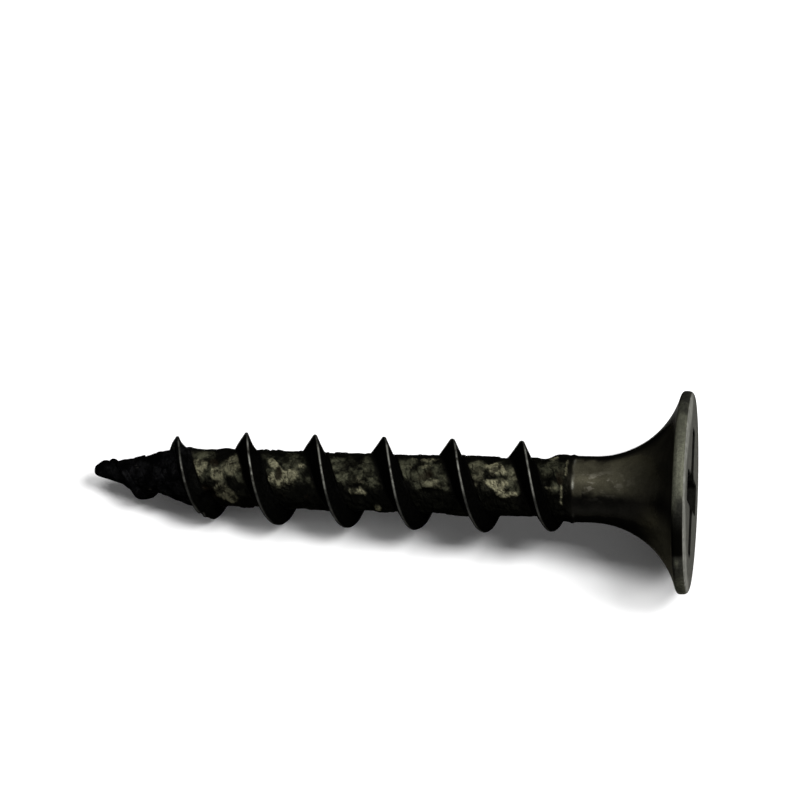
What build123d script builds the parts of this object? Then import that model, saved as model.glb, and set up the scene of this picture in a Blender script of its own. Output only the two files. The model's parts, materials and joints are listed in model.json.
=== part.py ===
"""Coarse-thread drywall screw, 3.8 x 25 mm, with a bugle head and a size 2 cross recess.

The screw is one piece of hardened wire: the head is struck cold, and the thread and the point
are rolled. It is modelled upright on its point, so a height is a distance above the point, and
then laid down as it comes to rest on a table, on the rim of its head and on its lowest crest.
"""
from build123d import *
from math import ceil, atan2, degrees, pi, sin, sqrt, tan, radians
import os

# Driving sizes, in millimetres and degrees
length = 24.6                # from the tip of the point to the face of the head

head_diameter = 8.15
rim_height = 0.45            # straight band round the edge of the head
rim_rounding = 0.2           # edge between that band and the face
bugle_radius = 3.6           # hollow curve under the head, ending tangent to the shank

shank_diameter = 2.68        # plain neck between head and thread
die_edge = 4.75              # where the rolled thread ends, below the face of the head
burr_height = 0.03           # ridge that the rolling dies push up there
burr_width = 0.16
swell_gap = 0.5              # from that ridge down to the swell of the core
swell_length = 0.8           # height over which the core swells out to the shank

core_diameter = 2.36         # root of the thread
thread_height = 0.7          # from the root to the crest
pitch = 2.82                 # 9 threads to the inch
crest_width = 0.1
point_flank = 0.43           # how far the flank towards the point spreads from crest to root
head_flank = 0.3             # the flank towards the head is steeper
thread_angle = 19.0          # where a crest would stand at the very tip, round the axis
run_out = 1.3                # length over which the thread dies away towards the neck
run_in = 5.5                 # length over which it grows from the tip
thread_start = 0.3           # the first groove begins this far above the tip

point_length = 3.6           # cone at the end of the core
tip_diameter = 0.3
tip_rounding = 0.12
shoulder_rounding = 2.0      # where the cone meets the core

recess_span = 4.95           # across two opposite wings, at the face
recess_wing = 1.15           # width of a wing, at the face
recess_heart = 1.9           # square that bevels the corners between the wings
recess_depth = 2.6
recess_angle = 19.0          # turn of the wings round the axis
wing_draft = 4.9             # slope of the sides of a wing
wing_end_draft = 26.5        # slope of its outer end
recess_floor_draft = 70.0    # slope of the floor, which falls towards the middle

# Modelling values
sections_per_turn = 12       # profiles for each turn of the thread
bury = 0.12                  # the thread's foot lies this far inside the core

head_radius = head_diameter / 2
shank_radius = shank_diameter / 2
core_radius = core_diameter / 2
tip_radius = tip_diameter / 2
rim_bottom = length - rim_height
thread_end = length - die_edge
swell_top = thread_end - swell_gap
hollow = bugle_radius - (head_radius - shank_radius)
bugle_bottom = rim_bottom - sqrt(bugle_radius**2 - hollow**2)
burr_radius = shank_radius + burr_height


def core_at(height):
    """Radius of the core: a cone up to the point's length, a cylinder above it."""
    return tip_radius + (core_radius - tip_radius) * min(1, height / point_length)


def thread_at(height):
    """How far the crest stands out of the core: it grows from the tip and dies at the neck."""
    growing = min(1, height / run_in)
    dying = sin(pi / 2 * min(1, (thread_end - height) / run_out))
    return thread_height * growing * dying


def crest_at(height):
    """Radius of the crest."""
    return core_at(height) + thread_at(height)


def crest_angle(height):
    """Direction of the crest round the axis: it turns to the right as it climbs."""
    return thread_angle + 360 * height / pitch


def radial_plane(height):
    """Plane through the axis and the crest at a height, with its x pointing outwards."""
    outward = Vector(1, 0, 0).rotate(Axis.Z, crest_angle(height))
    return Plane(origin=(0, 0, height), x_dir=outward, z_dir=outward.cross(Vector(0, 0, 1)))


# Blank: point, core, neck, bugle head
rounded_corners = {
    (tip_radius, 0): tip_rounding,
    (core_radius, point_length): shoulder_rounding,
    (head_radius, length): rim_rounding,
}
with BuildPart() as blank:
    with BuildSketch(Plane.XZ) as half_section:
        with BuildLine():
            Polyline(
                (0, 0),
                (tip_radius, 0),
                (core_radius, point_length),
                (core_radius, swell_top - swell_length),
                (shank_radius, swell_top),
                (shank_radius, thread_end - burr_width / 2),
                (burr_radius, thread_end),
                (shank_radius, thread_end + burr_width / 2),
                (shank_radius, bugle_bottom),
            )
            RadiusArc((shank_radius, bugle_bottom), (head_radius, rim_bottom), bugle_radius)
            Polyline((head_radius, rim_bottom), (head_radius, length), (0, length), (0, 0))
        make_face()
        for corner, radius in rounded_corners.items():
            fillet(half_section.vertices().sort_by_distance(corner)[0], radius)
    revolve(axis=Axis.Z)

# Thread: one loft for each turn, through profiles that share their ends with the next turn's
turns = ceil((thread_end - thread_start) / pitch)
climb = (thread_end - thread_start) / (turns * sections_per_turn)
thread_turns = []
for turn in range(turns):
    with BuildPart() as thread_turn:
        for section in range(sections_per_turn + 1):
            height = thread_start + climb * (turn * sections_per_turn + section)
            foot = core_at(height) - bury
            share = (thread_at(height) + bury) / thread_height
            with BuildSketch(radial_plane(height)):
                with BuildLine():
                    Polyline(
                        (foot, -crest_width / 2 - point_flank * share),
                        (crest_at(height), -crest_width / 2),
                        (crest_at(height), crest_width / 2),
                        (foot, crest_width / 2 + head_flank * share),
                        close=True,
                    )
                make_face()
        loft()
    thread_turns.append(thread_turn.part)

# Cross recess, as the solid that the punch leaves empty
floor_radius = recess_span / 2 - recess_depth * tan(radians(wing_end_draft))
floor_drop = floor_radius / tan(radians(recess_floor_draft))
with BuildPart() as recess:
    with BuildSketch(Plane.XY.offset(length)):
        Rectangle(recess_span, recess_wing)
        Rectangle(recess_wing, recess_span)
        Rectangle(recess_heart, recess_heart, rotation=45)
    extrude(amount=-(recess_depth + floor_drop), taper=wing_draft)
    with BuildSketch(Plane.XZ):
        with BuildLine():
            Polyline(
                (0, length),
                (recess_span / 2, length),
                (floor_radius, length - recess_depth),
                (0, length - recess_depth - floor_drop),
                close=True,
            )
        make_face()
    revolve(axis=Axis.Z, mode=Mode.INTERSECT)

with BuildPart() as upright:
    add(blank.part)
    add(thread_turns)
    add(recess.part, rotation=(0, 0, recess_angle), mode=Mode.SUBTRACT)

# Rest: of all the places where a crest points straight down, the screw leans on the one that
# holds its point highest off the table
first_down = (-thread_angle % 360) / 360 * pitch
crests_down = [first_down + turn * pitch for turn in range(turns + 1)]
rest_tilt = min(
    degrees(atan2(head_radius - crest_at(height), rim_bottom - height))
    for height in crests_down
    if thread_start < height < thread_end
)
with BuildPart() as lying:
    add(upright.part, rotation=(0, 90 - rest_tilt, 0))

# The origin is on the table, under the middle of the screw
extent = lying.part.bounding_box()
with BuildPart() as drywall_screw:
    with Locations((-extent.center().X, -extent.center().Y, -extent.min.Z)):
        add(lying.part)
drywall_screw.part.label = "drywall_screw"

os.makedirs("parts", exist_ok=True)
export_step(drywall_screw.part, "parts/drywall_screw.step")

print(f"rest tilt {rest_tilt:.3f} degrees")
print(f"solids {len(drywall_screw.part.solids())}, volume {drywall_screw.part.volume:.3f} mm3")
print(f"shift {-extent.center().X:.4f} {-extent.center().Y:.4f} {-extent.min.Z:.4f}")
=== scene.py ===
"""The look of a short black drywall screw that lies on a pale table.

The screw is struck and rolled from one wire, so its look is one skin: a rough rolled shank with a
coarse thread, a smooth neck, a bugle head and a cross recess. The skin is first modelled upright on
its point, where a height is a distance above the point and an azimuth goes round the axis, and is
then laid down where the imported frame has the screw.
"""
import itertools
import json
import logging
from dataclasses import dataclass
from enum import Enum, IntEnum

import bpy
import numpy as np
from mathutils import Matrix, Vector


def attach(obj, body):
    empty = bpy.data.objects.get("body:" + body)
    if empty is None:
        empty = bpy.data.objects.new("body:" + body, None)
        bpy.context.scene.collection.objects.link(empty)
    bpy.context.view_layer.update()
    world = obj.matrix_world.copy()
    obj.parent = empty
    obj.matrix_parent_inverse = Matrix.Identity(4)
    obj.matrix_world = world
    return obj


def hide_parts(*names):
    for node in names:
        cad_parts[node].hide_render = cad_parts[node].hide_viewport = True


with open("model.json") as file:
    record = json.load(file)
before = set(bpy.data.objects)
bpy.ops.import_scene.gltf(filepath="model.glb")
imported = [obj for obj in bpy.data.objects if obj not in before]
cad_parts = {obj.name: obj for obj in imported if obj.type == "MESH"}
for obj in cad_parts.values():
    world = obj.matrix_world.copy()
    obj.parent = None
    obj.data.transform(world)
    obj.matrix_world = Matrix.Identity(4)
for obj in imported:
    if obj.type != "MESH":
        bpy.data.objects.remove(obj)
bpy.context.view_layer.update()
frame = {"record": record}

MM = 0.001
NODE = "drywall_screw"
BODY = "root"
SLOT = "phosphated_steel"

Socket = bpy.types.NodeSocket
Colour = tuple[float, float, float]
Pair = tuple[float, float]

log = logging.getLogger("screw")


class Zone(Enum):
    """Parts of the skin that differ in finish. Each is a weight on the skin's points."""

    ROOT = "root"
    FLANK = "flank"
    CREST = "crest"
    RIM = "rim"
    FACE = "face"
    RECESS = "recess"
    RAISED = "raised"
    CREAM = "cream"
    BROWN = "brown"
    # Real pits, with painted shade round raised flakes, and the darker collar and rim band.
    PIT_AND_SHADE = "pit_and_shade"
    SCUFF = "scuff"
    # Painted light: the coat is painted lighter here, along the upper side, at the rim's bottom,
    # under the bugle near the rim and on the face's edge; also light marks on the rim.
    LIGHTER = "lighter"
    POINT = "point"


class Pattern(IntEnum):
    """Random patterns of the skin. Each number picks one that has nothing to do with the others."""

    CREST_WEAR = 11
    PLATES = 21
    TORN = 31
    SCALE_LUMPS = 41
    CREST_SWAY = 51
    HEAD_LUMPS = 61
    RAGGED = 71
    NECK_LINE = 81
    STRIP = 91
    SOFT_STRIP = 93


def scramble(cells: np.ndarray, seed: int) -> np.ndarray:
    """Gives each cell of a lattice a number of its own, the same on every run.

    Args:
        cells: whole-number coordinates of the cells, shape (..., 3).
        seed: picks one of many unrelated patterns.

    Returns:
        Numbers from 0 to 1, shape (...).
    """
    x, y, z = np.moveaxis(cells.astype(np.int64), -1, 0)
    bits = (x * 374761393 + y * 668265263 + z * 1440662683 + seed * 974634613) & 0xFFFFFFFF
    bits = ((bits ^ (bits >> 13)) * 1274126177) & 0xFFFFFFFF
    bits = ((bits ^ (bits >> 16)) * 2246822519) & 0xFFFFFFFF
    return ((bits ^ (bits >> 15)) & 0xFFFFFF) / 0xFFFFFF


def lumps(points: np.ndarray, size: float, seed: int, octaves: int = 1) -> np.ndarray:
    """Smooth random swells in space.

    Args:
        points: places, shape (..., 3), in metres.
        size: distance between the largest swells.
        seed: picks the pattern.
        octaves: how many finer layers are added, each half as large and half as high.

    Returns:
        Heights of about -1 to 1, shape (...).
    """
    total = np.zeros(points.shape[:-1])
    for octave in range(octaves):
        place = points / (size / 2**octave)
        cell = np.floor(place)
        share = place - cell
        share = share**3 * (share * (share * 6 - 15) + 10)
        for corner in itertools.product((0, 1), repeat=3):
            weight = np.prod(np.where(np.array(corner) == 1, share, 1 - share), axis=-1)
            total += weight * (2 * scramble(cell + corner, seed + octave) - 1) / 2**octave
    return total


def plates(points: np.ndarray, size: float, seed: int) -> tuple[np.ndarray, np.ndarray]:
    """Breaks space into irregular plates.

    Args:
        points: places, shape (..., 3), in metres.
        size: average distance across a plate.
        seed: picks the pattern.

    Returns:
        The distance from a plate's border, from 0 up to about 1, and a number from 0 to 1 that is
        the same all over a plate.
    """
    place = points / size
    home = np.floor(place)
    nearest = np.full(points.shape[:-1], np.inf)
    second = nearest.copy()
    level = np.zeros(points.shape[:-1])
    for step in itertools.product((-1, 0, 1), repeat=3):
        cell = home + step
        middle = cell + np.stack([scramble(cell, seed + axis) for axis in range(3)], axis=-1)
        distance = np.linalg.norm(place - middle, axis=-1)
        closer = distance < nearest
        second = np.where(closer, nearest, np.minimum(second, distance))
        level = np.where(closer, scramble(cell, seed + 3), level)
        nearest = np.where(closer, distance, nearest)
    return second - nearest, level


def ease(value: np.ndarray | float, low: float, high: float) -> np.ndarray:
    """Rises smoothly from 0 at low to 1 at high.

    Args:
        value: any numbers.
        low: where the rise starts; it may be above high, for a fall.
        high: where the rise ends.

    Returns:
        Numbers from 0 to 1.
    """
    share = np.clip((value - low) / (high - low), 0, 1)
    return share * share * (3 - 2 * share)


def turn_from(azimuth: np.ndarray, middle: float) -> np.ndarray:
    """The turns from one azimuth to others, the short way round, in degrees."""
    return (azimuth - middle + 180) % 360 - 180


@dataclass(frozen=True)
class Span:
    """A stretch of heights or azimuths with soft ends, whole between full and fading."""

    start: float
    full: float
    fading: float
    end: float

    def share(self, value: np.ndarray | float) -> np.ndarray:
        """How far each value is in the stretch, from 0 to 1."""
        return ease(value, self.start, self.full) * ease(value, self.end, self.fading)


@dataclass(frozen=True)
class LitStrip:
    """The strip along the screw's upper side that is painted lighter, as lit from above: painted
    light.

    It lies round the azimuth middle, and reaches whole degrees each way with its full strength.
    """

    middle: float = 183.0
    whole: float = 22.0
    gone: float = 40.0
    fray: float = 9.0

    def share(self, azimuth: np.ndarray, ragged: np.ndarray) -> np.ndarray:
        """How far the coating is painted lighter there, as lit from above.

        Args:
            azimuth: directions round the axis, in degrees, with 180 upwards.
            ragged: noise of about -1 to 1 that frays the strip's borders.

        Returns:
            Shares from 0 to 1.
        """
        turn = np.abs(azimuth % 360 - self.middle)
        return ease(turn + self.fray * ragged, self.gone, self.whole)


LIT_STRIP = LitStrip()


@dataclass(frozen=True)
class ScrewSizes:
    """Driving sizes of the screw, as the solid has them, in metres and degrees."""

    length: float = 24.6 * MM
    head_radius: float = 4.075 * MM
    rim_height: float = 0.45 * MM
    rim_rounding: float = 0.2 * MM
    bugle_radius: float = 3.6 * MM
    shank_radius: float = 1.34 * MM
    die_edge: float = 4.75 * MM
    swell_gap: float = 0.5 * MM
    swell_length: float = 0.8 * MM
    core_radius: float = 1.18 * MM
    thread_height: float = 0.7 * MM
    pitch: float = 2.82 * MM
    crest_width: float = 0.1 * MM
    point_flank: float = 0.43 * MM
    head_flank: float = 0.3 * MM
    run_out: float = 1.3 * MM
    run_in: float = 5.5 * MM
    point_length: float = 3.6 * MM
    tip_radius: float = 0.15 * MM
    tip_rounding: float = 0.12 * MM
    recess_span: float = 4.95 * MM
    recess_wing: float = 1.15 * MM
    recess_heart: float = 1.9 * MM
    recess_depth: float = 2.6 * MM
    start_angle: float = 19.0
    wing_draft: float = 4.9
    wing_end_draft: float = 26.5
    recess_floor_draft: float = 70.0

    @property
    def thread_end(self) -> float:
        """Height at which the thread has died away."""
        return self.length - self.die_edge

    @property
    def rim_bottom(self) -> float:
        """Height of the underside edge of the head."""
        return self.length - self.rim_height

    @property
    def bugle_hollow(self) -> float:
        """Distance from the middle of the bugle's arc out to the rim, across the axis."""
        return self.bugle_radius - (self.head_radius - self.shank_radius)

    @property
    def bugle_bottom(self) -> float:
        """Height at which the bugle's arc leaves the neck."""
        return self.rim_bottom - float(np.sqrt(self.bugle_radius**2 - self.bugle_hollow**2))


@dataclass(frozen=True)
class Lie:
    """Where the screw lies: the middle of its face, and the way from its point to its head."""

    face: np.ndarray
    along: np.ndarray

    @classmethod
    def from_record(cls, record: dict) -> "Lie":
        """Reads the place from the mount of the cross recess, which is on the axis at the face.

        Args:
            record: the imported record.

        Returns:
            The screw's place in the frame.
        """
        mount = next(entry for entry in record["mounts"] if entry["name"] == "cross_recess")
        return cls(face=np.array(mount["pos_m"]), along=np.array(mount["axis"]))

    def lay_down(self, upright: np.ndarray, length: float) -> np.ndarray:
        """Lays points of the upright screw down in the frame.

        Args:
            upright: points, shape (n, 3), with the point of the screw at the origin.
            length: from the point of the screw to its face.

        Returns:
            The same points in the frame, shape (n, 3).
        """
        side = np.array([0.0, 1.0, 0.0])
        down = np.cross(side, self.along)
        turned = np.outer(upright[:, 0], down) + np.outer(upright[:, 1], side)
        return self.face + turned + np.outer(upright[:, 2] - length, self.along)


class Skin:
    """Collects the points, faces and zone weights of one mesh."""

    def __init__(self) -> None:
        """Starts with nothing."""
        self.points: list[np.ndarray] = []
        self.weights: dict[Zone, list[np.ndarray]] = {zone: [] for zone in Zone}
        self.faces: list[tuple[int, ...]] = []
        self.count = 0

    def add_points(self, points: np.ndarray, weights: dict[Zone, np.ndarray]) -> np.ndarray:
        """Adds points.

        Args:
            points: upright places, shape (n, 3).
            weights: zone weights, each of shape (n,); a zone that is left out is 0.

        Returns:
            The new points' numbers, shape (n,).
        """
        self.points.append(points)
        for zone in Zone:
            self.weights[zone].append(weights.get(zone, np.zeros(len(points))))
        numbers = np.arange(self.count, self.count + len(points))
        self.count += len(points)
        return numbers

    def join_rings(self, lower: np.ndarray, upper: np.ndarray) -> None:
        """Adds a band of four-sided faces.

        Args:
            lower: the ring under the band.
            upper: the ring above it, with as many points.
        """
        following_lower, following_upper = np.roll(lower, -1), np.roll(upper, -1)
        band = np.stack([lower, following_lower, following_upper, upper], axis=1)
        self.faces.extend(map(tuple, band.tolist()))

    def join_to_finer(self, lower: np.ndarray, upper: np.ndarray) -> None:
        """Adds a band of triangles.

        Args:
            lower: the ring under the band.
            upper: the ring above it, with twice as many points.
        """
        after = np.roll(lower, -1)
        left, middle, right = upper[::2], upper[1::2], np.roll(upper, -2)[::2]
        for corners in ((lower, middle, left), (lower, after, middle), (after, right, middle)):
            self.faces.extend(map(tuple, np.stack(corners, axis=1).tolist()))

    def close_ring(self, ring: np.ndarray, middle: int, outward: bool) -> None:
        """Fills a ring with triangles round one point.

        Args:
            ring: the ring's points.
            middle: the point in the middle.
            outward: True where the ring's own direction already faces out.
        """
        after = np.roll(ring, -1)
        first, second = (ring, after) if outward else (after, ring)
        self.faces.extend((int(a), int(b), middle) for a, b in zip(first, second))

    def make_object(self, name: str, lie: Lie, length: float) -> bpy.types.Object:
        """Makes the Blender object.

        Args:
            name: the piece's name.
            lie: where the screw lies.
            length: from the point of the screw to its face.

        Returns:
            The new object, at the origin, with its place in its mesh.
        """
        upright = np.concatenate(self.points)
        mesh = bpy.data.meshes.new(name)
        mesh.from_pydata(lie.lay_down(upright, length).tolist(), [], self.faces)
        for zone in Zone:
            layer = mesh.attributes.new(zone.value, "FLOAT", "POINT")
            layer.data.foreach_set("value", np.concatenate(self.weights[zone]).astype(np.float32))
        place = mesh.attributes.new("upright", "FLOAT_VECTOR", "POINT")
        place.data.foreach_set("vector", (upright / MM).astype(np.float32).ravel())
        mesh.validate()
        mesh.shade_smooth()
        piece = bpy.data.objects.new(name, mesh)
        bpy.context.scene.collection.objects.link(piece)
        return piece


@dataclass(frozen=True)
class Mark:
    """One soft mark, with its size each way and how far it lifts the skin or how much it shows."""

    height: float
    azimuth: float
    along: float
    around: float
    strength: float

    def at(
        self, height: np.ndarray | float, azimuth: np.ndarray, radius: np.ndarray | float
    ) -> np.ndarray:
        """Its strength at each place.

        Args:
            height: heights above the point of the screw.
            azimuth: directions round the axis, in degrees.
            radius: distances from the axis.

        Returns:
            The strength there, below 0 for a dent.
        """
        round_way = np.radians(turn_from(azimuth, self.azimuth)) * radius / self.around
        long_way = (height - self.height) / self.along
        return self.strength * np.exp(-(round_way**2 + long_way**2))


@dataclass(frozen=True)
class Patch:
    """One flake, stain or pitted spot of the scale, with half its size each way and how much it
    shows.
    """

    tone: Zone
    strength: float
    height: float
    azimuth: float
    along: float
    around: float
    rise: float
    radius: float = 1.2 * MM
    fray: float = 0.55
    border: Pair = (1.2, 0.85)

    def cover(self, height: np.ndarray, azimuth: np.ndarray, ragged: np.ndarray) -> np.ndarray:
        """How far it covers each place.

        Args:
            height: heights above the point of the screw.
            azimuth: directions round the axis, in degrees.
            ragged: noise of about -1 to 1 that frays its border.

        Returns:
            Shares from 0 to 1.
        """
        round_way = np.radians(turn_from(azimuth, self.azimuth)) * self.radius / self.around
        long_way = (height - self.height) / self.along
        distance = np.sqrt(round_way**2 + long_way**2) + self.fray * ragged
        return ease(distance, *self.border)


@dataclass(frozen=True)
class RolledForm:
    """The shank's clean form, in rows that climb and columns that go round the axis.

    Each array has one number for each point, except ring, place and crest_place, which have a
    vector. Place is on the wire without its thread, and crest_place is the same all over a crest.
    """

    height: np.ndarray
    azimuth: np.ndarray
    ring: np.ndarray
    blank: np.ndarray
    thread: np.ndarray
    flank: np.ndarray
    offset: np.ndarray
    place: np.ndarray
    crest_place: np.ndarray
    ragged: np.ndarray
    root_border: Pair = (-0.02 * MM, -0.2 * MM)

    @property
    def above_root(self) -> np.ndarray:
        """How far the thread's flank is outside the wire, below 0 between the threads."""
        return self.flank - self.blank

    @property
    def on_root(self) -> np.ndarray:
        """1 on the core between the threads and 0 on a thread."""
        return ease(self.above_root, *self.root_border)


@dataclass(frozen=True)
class Shank:
    """The point, the core and the rolled thread, up to the plain neck.

    A pair of numbers says where something starts to show and where it shows in full.
    """

    sizes: ScrewSizes
    columns: int = 96
    top: float = 20.3 * MM
    root_fillet: float = 0.06 * MM
    unfilleted: Pair = (-0.5 * MM, -0.1 * MM)
    thinnest: float = 0.02 * MM
    foot_depth: float = 0.12 * MM
    foot_height: float = 0.1 * MM

    ragged_size: float = 0.36 * MM
    lump_size: float = 0.55 * MM
    lump_height: float = 0.042 * MM
    plate_size: float = 0.42 * MM
    plate_level: float = 0.4
    plate_lift: float = 0.09 * MM
    crack_depth: float = 0.055 * MM
    crack_width: float = 0.16
    torn_size: float = 1.1 * MM
    torn_border: Pair = (-0.25, 0.35)
    scale_start: float = 0.5 * MM
    scale_full: float = 1.5 * MM
    scale_fading: float = 0.3 * MM
    raised_height: float = 0.12 * MM
    patch_body: float = 0.75
    patch_lumps: float = 0.5
    # Painted shade: a dark ring round each flake.
    shade_ring: float = 2.4
    shade_ring_border: Pair = (-0.5, 0.2)

    wear_size: float = 0.9 * MM
    crest_wear: float = 0.035 * MM
    crest_line: float = 0.04 * MM
    crest_core: float = 1.3
    first_crest: Pair = (2.9 * MM, 3.4 * MM)
    bright_crest: Pair = (5.5 * MM, 6.5 * MM)
    dull_crest: float = 0.6
    sway_size: float = 1.6 * MM
    crest_sway: float = 0.03 * MM
    crest_push: float = 0.14 * MM
    push_height: float = 3.8 * MM
    push_reach: float = 3.8 * MM
    sway_rise: Pair = (-0.1 * MM, 0.3 * MM)
    full_thread: float = 0.2 * MM
    clear_of_thread: Pair = (-0.1 * MM, -0.4 * MM)
    point_end: Pair = (4.5 * MM, 4.0 * MM)

    tip_shift: float = 0.16 * MM
    tip_reach: float = 4.0 * MM
    tip_bulge: float = 0.004 * MM
    burr_height: float = 0.05 * MM
    burr_width: float = 0.09 * MM

    collar: float = 0.1 * MM
    collar_start: float = 0.35 * MM
    collar_full: float = 0.2 * MM
    collar_fading: float = 0.06 * MM
    collar_fray: float = 0.03 * MM
    # The collar is darker, and the lighter strip is taken off it.
    collar_darkening: float = 0.6
    collar_dimming: float = 0.8
    neck_line: float = 0.045 * MM
    neck_line_size: float = 0.5 * MM
    neck_line_wear: float = 0.5
    neck_line_breaks: Pair = (-0.5, 0.3)

    @property
    def neck_edge(self) -> float:
        """Height at which the satin neck begins, a little above the burr."""
        return self.sizes.thread_end + self.collar

    def core_at(self, height: np.ndarray) -> np.ndarray:
        """The core under the thread: a cone that ends in the cylinder.

        Args:
            height: heights above the point of the screw.

        Returns:
            The core's radius at each height.
        """
        s = self.sizes
        share = np.clip(height / s.point_length, 0, 1)
        return s.tip_radius + (s.core_radius - s.tip_radius) * share

    def thread_at(self, height: np.ndarray) -> np.ndarray:
        """How high the thread is: it grows from the tip and dies away at the neck.

        Args:
            height: heights above the point of the screw.

        Returns:
            How far a crest at each height stands out of the core.
        """
        s = self.sizes
        growing = np.clip(height / s.run_in, 0, 1)
        dying = np.sin(np.pi / 2 * np.clip((s.thread_end - height) / s.run_out, 0, 1))
        return s.thread_height * growing * dying

    def blank_at(self, height: np.ndarray) -> np.ndarray:
        """The wire without its thread: the rounded tip, the core, its swell, the burr and the neck.

        Args:
            height: heights above the point of the screw.

        Returns:
            The wire's radius at each height.
        """
        s = self.sizes
        core = self.core_at(height)
        swell_top = s.thread_end - s.swell_gap
        swell = ease(height, swell_top - s.swell_length, swell_top)
        swell = swell * (s.shank_radius - s.core_radius)
        below = np.clip(s.tip_rounding - height, 0, s.tip_rounding)
        round_tip = s.tip_rounding - np.sqrt(s.tip_rounding**2 - below**2)
        burr = self.burr_height * np.exp(-(((height - s.thread_end) / self.burr_width) ** 2))
        return core + swell - round_tip + burr

    def crest_offset(self, height: np.ndarray, azimuth: np.ndarray) -> np.ndarray:
        """How far each place is from the nearest crest.

        Args:
            height: heights above the point of the screw.
            azimuth: directions round the axis, in degrees.

        Returns:
            Distances along the axis, above 0 towards the head.
        """
        s = self.sizes
        turns = height / s.pitch - (azimuth - s.start_angle) / 360
        return (turns - np.round(turns)) * s.pitch

    def marks(self) -> tuple[Mark, ...]:
        """The single dents and lumps that set this screw apart.

        Returns:
            The marks, on the first crests, the tip and the cone.
        """
        return (
            Mark(5.25 * MM, 262, 0.5 * MM, 0.5 * MM, -0.2 * MM),
            Mark(4.95 * MM, 252, 0.16 * MM, 0.2 * MM, -0.16 * MM),
            Mark(0.42 * MM, 150, 0.3 * MM, 0.3 * MM, 0.2 * MM),
            Mark(0.25 * MM, 250, 0.3 * MM, 0.3 * MM, 0.05 * MM),
            Mark(1.15 * MM, 120, 0.5 * MM, 0.3 * MM, 0.05 * MM),
            Mark(1.8 * MM, 290, 0.24 * MM, 0.4 * MM, 0.15 * MM),
            Mark(2.8 * MM, 292, 0.36 * MM, 0.5 * MM, -0.27 * MM),
            Mark(3.4 * MM, 296, 0.4 * MM, 0.55 * MM, -0.26 * MM),
            Mark(5.0 * MM, 294, 0.3 * MM, 0.5 * MM, -0.15 * MM),
            Mark(4.85 * MM, 277, 0.14 * MM, 0.16 * MM, -0.18 * MM),
            Mark(4.15 * MM, 150, 0.16 * MM, 0.35 * MM, 0.12 * MM),
        )

    def patches(self) -> tuple[Patch, ...]:
        """The largest flakes, stains and pits of the scale.

        A row gives the tone, its strength, the height and azimuth of the middle, half the length
        along the axis, half the width round it, and the rise, in millimetres and degrees.

        Returns:
            The patches. Where two meet, the later one lies on top.
        """
        cream, brown, pit_and_shade, scuff = Zone.CREAM, Zone.BROWN, Zone.PIT_AND_SHADE, Zone.SCUFF
        rows = (
            (scuff, 0.4, 1.49, 213, 0.10, 0.12, 0.02),
            (scuff, 0.3, 1.93, 184, 0.09, 0.16, 0.02),
            (scuff, 0.4, 2.42, 250, 0.14, 0.09, 0.02),
            (cream, 0.5, 4.56, 183, 0.30, 0.30, 0.05),
            (cream, 0.5, 5.43, 200, 0.36, 0.28, 0.07),
            (cream, 0.28, 5.65, 240, 0.42, 0.50, 0.12),
            (cream, 0.4, 5.95, 184, 0.42, 0.45, 0.03),
            (brown, 0.7, 5.30, 176, 0.16, 0.20, -0.05),
            (brown, 0.8, 4.90, 245, 0.45, 0.45, -0.12),
            (cream, 0.9, 7.70, 174, 0.17, 0.18, 0.06),
            (cream, 0.9, 7.70, 201, 0.14, 0.16, 0.06),
            (cream, 0.8, 8.38, 202, 0.42, 0.38, 0.09),
            (brown, 0.6, 7.95, 196, 0.12, 0.20, 0.00),
            (pit_and_shade, 1.0, 8.41, 181, 0.08, 0.08, -0.07),
            (cream, 0.8, 8.86, 178, 0.14, 0.09, 0.05),
            (pit_and_shade, 0.9, 11.25, 179, 0.14, 0.07, -0.05),
            (pit_and_shade, 0.9, 11.70, 195, 0.14, 0.07, -0.05),
            (cream, 0.5, 11.24, 203, 0.24, 0.16, 0.06),
            (pit_and_shade, 0.9, 11.20, 215, 0.28, 0.12, -0.08),
            (cream, 0.8, 11.25, 226, 0.28, 0.13, 0.07),
            (cream, 0.5, 12.00, 266, 0.14, 0.20, 0.08),
            (cream, 0.5, 13.90, 150, 0.45, 0.12, 0.04),
            (cream, 0.6, 13.95, 171, 0.45, 0.09, 0.04),
            (brown, 0.6, 14.05, 187, 0.32, 0.24, -0.02),
            (cream, 0.45, 14.30, 206, 0.30, 0.24, 0.08),
            (pit_and_shade, 1.0, 14.20, 219, 0.42, 0.10, -0.08),
            (cream, 0.2, 16.00, 180, 0.36, 0.50, 0.03),
            (cream, 1.0, 16.80, 171, 0.38, 0.36, 0.08),
            (pit_and_shade, 0.8, 16.90, 190, 0.38, 0.07, -0.05),
            (cream, 1.0, 17.00, 203, 0.36, 0.24, 0.06),
            (cream, 1.0, 17.25, 220, 0.34, 0.10, 0.07),
            (cream, 0.3, 17.52, 184, 0.26, 0.36, 0.05),
            (cream, 0.6, 19.07, 136, 0.25, 0.12, 0.05),
            (cream, 0.8, 19.66, 171, 0.07, 0.40, 0.06),
            (cream, 0.7, 19.50, 212, 0.05, 0.30, 0.06),
            (cream, 0.5, 19.10, 206, 0.22, 0.06, 0.05),
            (brown, 0.6, 19.45, 186, 0.16, 0.32, -0.06),
        )
        return tuple(
            Patch(tone, strength, height * MM, azimuth, along * MM, around * MM, rise * MM)
            for tone, strength, height, azimuth, along, around, rise in rows
        )

    def form(self) -> RolledForm:
        """Works out the clean form.

        Returns:
            The form at every point of the shank.
        """
        s = self.sizes
        step = s.pitch / self.columns
        rows = int(self.top / step) + 1
        azimuth = s.start_angle + 360 / self.columns * np.arange(self.columns)
        height, azimuth = np.meshgrid(step * np.arange(rows), azimuth, indexing="ij")
        ring = np.stack([np.cos(np.radians(azimuth)), np.sin(np.radians(azimuth))], axis=-1)

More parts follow.
